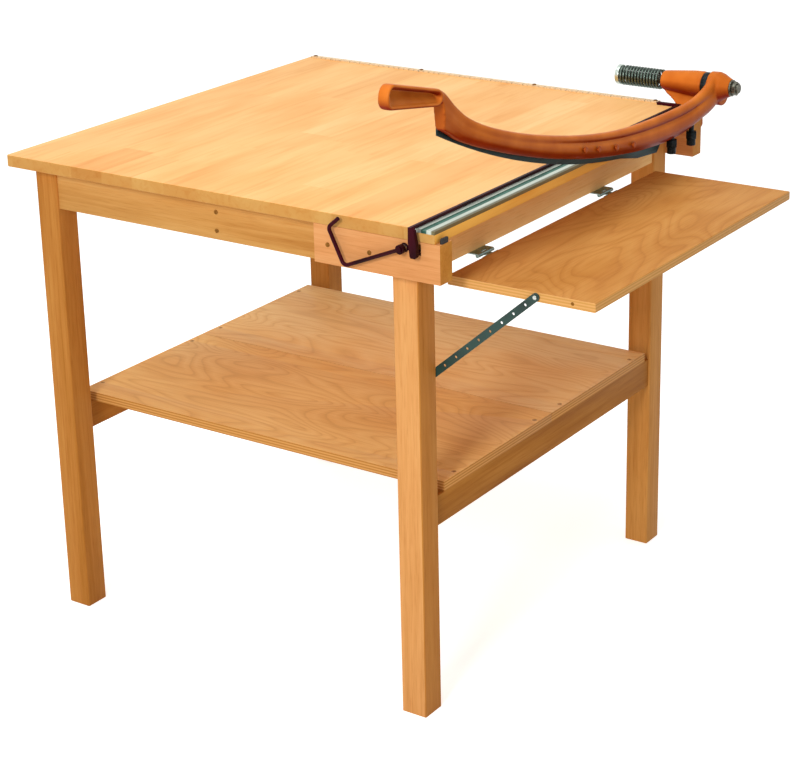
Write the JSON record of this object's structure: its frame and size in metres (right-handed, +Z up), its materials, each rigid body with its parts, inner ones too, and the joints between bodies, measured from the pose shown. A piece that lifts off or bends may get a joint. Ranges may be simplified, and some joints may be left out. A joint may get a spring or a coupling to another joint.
{
  "type": "table paper cutter",
  "caption": "Square wooden table with a curved swing-arm blade on its right edge, a bar clamp worked by a bent lever, a lower shelf and a folding side shelf on a hooked stay.",
  "frame": {"origin": "centre of the footprint of the whole object, on the floor", "axes": "+Z up, -Y the front where the user stands and the arm's handle points, +X the cutting side"},
  "size_m": [1.182, 1.1424, 1.1836],
  "materials": {
    "maple_top": "clear lacquer over edge-glued maple",
    "leg_wood": "clear lacquer on solid maple",
    "apron_wood": "clear lacquer on solid maple",
    "shelf_plywood": "clear lacquer on plywood",
    "board_wood": "clear lacquer on hardwood",
    "bed_steel": "ground steel",
    "rule_strip": "printed scale strip",
    "dark_screw": "blackened steel",
    "plated_steel": "zinc plated",
    "bronze": "plain bearing bronze",
    "black_rubber": "matt",
    "arm_paint": "orange enamel on a casting",
    "spring_steel": "bright plated spring wire",
    "black_steel": "black oxide",
    "blade_steel": "hardened and ground",
    "clamp_paint": "dark red-black enamel",
    "hinge_steel": "zinc plated",
    "stay_steel": "dark oxide"
  },
  "bodies": {
    "table": {"arm_stop_pad": "black_rubber", "back_apron": "apron_wood", "back_rule": "rule_strip", "back_rule_screws": "dark_screw", "balance_spring": "spring_steel", "bed_knife": "bed_steel", "bed_knife_screws": "dark_screw", "bracket_bolts": "plated_steel", "centre_rail": "apron_wood", "centre_rail_screws": "dark_screw", "clamp_bush": "bronze", "corner_blocks": "apron_wood", "cutter_back_board": "board_wood", "cutter_front_board": "board_wood", "front_apron": "apron_wood", "front_board_screws": "dark_screw", "hinge_back_fixed_leaf": "hinge_steel", "hinge_fixed_screws": "plated_steel", "hinge_front_fixed_leaf": "hinge_steel", "hinge_pins": "hinge_steel", "left_apron": "apron_wood", "leg_back_left": "leg_wood", "leg_back_right": "leg_wood", "leg_front_left": "leg_wood", "leg_front_right": "leg_wood", "lower_shelf_back": "shelf_plywood", "lower_shelf_front": "shelf_plywood", "pivot_bracket": "arm_paint", "pivot_bushes": "bronze", "right_apron": "apron_wood", "shelf_cross_rail": "apron_wood", "shelf_screws": "dark_screw", "shelf_stretcher_left": "apron_wood", "shelf_stretcher_right": "apron_wood", "stay_stud": "dark_screw", "table_top": "maple_top"},
    "knife_arm": {"arm_casting": "arm_paint", "cutting_blade": "blade_steel", "blade_bolts": "plated_steel", "blade_screws": "black_steel", "adjusting_screws": "black_steel", "pivot_shaft": "plated_steel", "thrust_washer": "black_steel", "pivot_washer": "plated_steel", "pivot_nut": "plated_steel", "spring_collar": "plated_steel"},
    "side_shelf": {"side_shelf_panel": "shelf_plywood", "hinge_front_moving_leaf": "hinge_steel", "hinge_back_moving_leaf": "hinge_steel", "hinge_moving_screws": "plated_steel", "stay_screw": "dark_screw", "shelf_end_screw": "dark_screw"},
    "stay": {"shelf_stay": "stay_steel"},
    "clamp_hand_lever": {"clamp_lever": "clamp_paint", "clamp_lever_screw": "dark_screw", "clamp_shaft": "plated_steel", "clamp_finger": "black_steel"},
    "paper_clamp": {"clamp_bar": "clamp_paint"}
  },
  "joints": [
    {"name": "arm_swing", "type": "hinge", "parent": "table", "child": "knife_arm", "pos_m": [0.3508, 0.54125, 0.954], "axis": [1, 0, 0], "range_deg": [-50, 9.9]},
    {"name": "side_shelf_fold", "type": "hinge", "parent": "table", "child": "side_shelf", "pos_m": [0.301, -0.1937, 0.8105], "axis": [0, 1, 0], "range_deg": [0, 90]},
    {"name": "stay_swing", "type": "hinge", "parent": "side_shelf", "child": "stay", "pos_m": [0.482, -0.33145, 0.8025], "axis": [0, 1, 0], "range_deg": [-139.45, 0]},
    {"name": "clamp_lever_turn", "type": "hinge", "parent": "table", "child": "clamp_hand_lever", "pos_m": [0.289, -0.42875, 0.879], "axis": [0, -1, 0], "range_deg": [0, 16]},
    {"name": "clamp_bar_lift", "type": "slide", "parent": "table", "child": "paper_clamp", "axis": [0, 0, 1], "range_m": [0, 0.00774]}
  ],
  "couplings": [
    {"joint": "clamp_bar_lift", "follows": "clamp_lever_turn", "m_per_rad": 0.027},
    {"joint": "stay_swing", "follows": "side_shelf_fold", "ratio": -1.5472}
  ]
}
